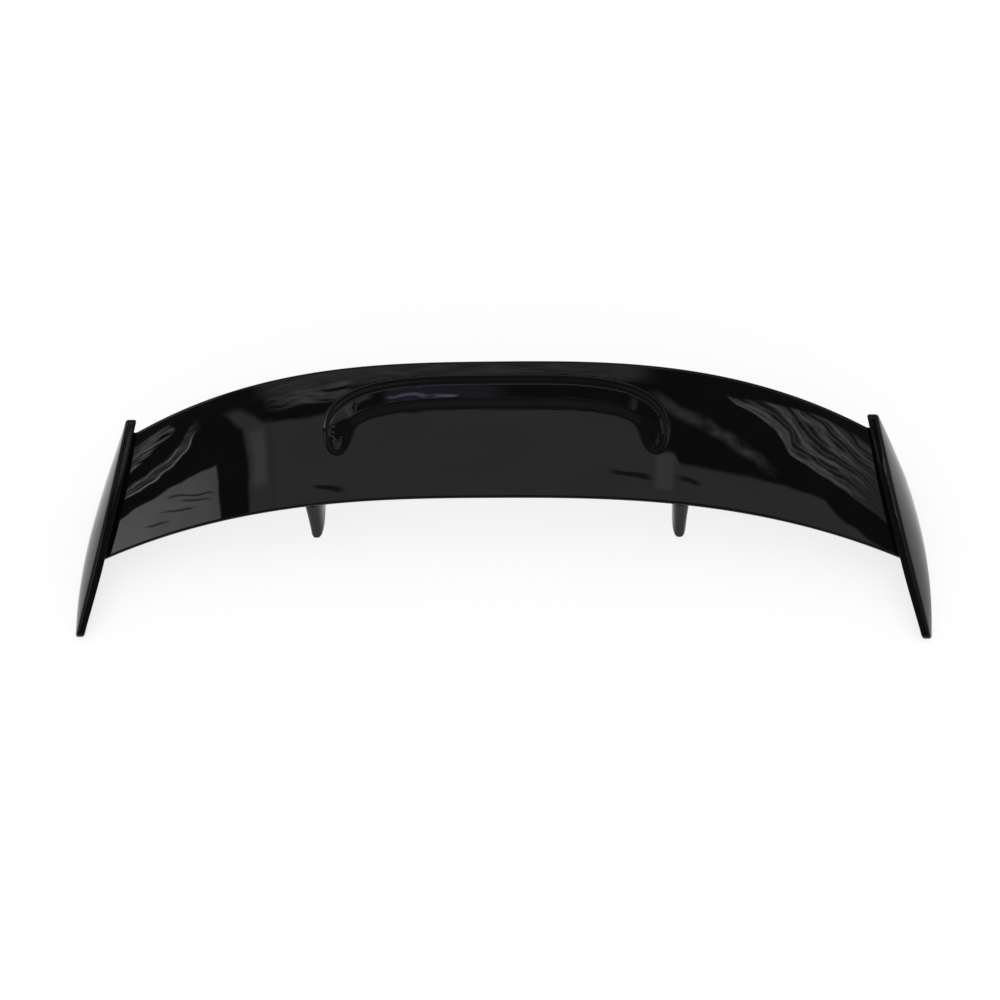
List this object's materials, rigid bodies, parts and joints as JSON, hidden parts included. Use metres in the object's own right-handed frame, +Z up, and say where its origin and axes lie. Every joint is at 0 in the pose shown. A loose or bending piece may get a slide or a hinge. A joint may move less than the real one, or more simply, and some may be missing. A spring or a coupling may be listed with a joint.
{
  "type": "car rear spoiler",
  "caption": "Gloss black boot-lid spoiler: a bowed blade with a raised arch on its top, splayed end plates and slim legs.",
  "frame": {"origin": "on the ground plane, under the middle of the spoiler's box", "axes": "+X across the car, +Y to the car's rear, +Z up"},
  "size_m": [1.21, 0.3464, 0.1787],
  "materials": {
    "gloss_black": "gloss black, smooth moulded skin"
  },
  "bodies": {
    "root": {"spoiler": "gloss_black"}
  },
  "joints": []
}
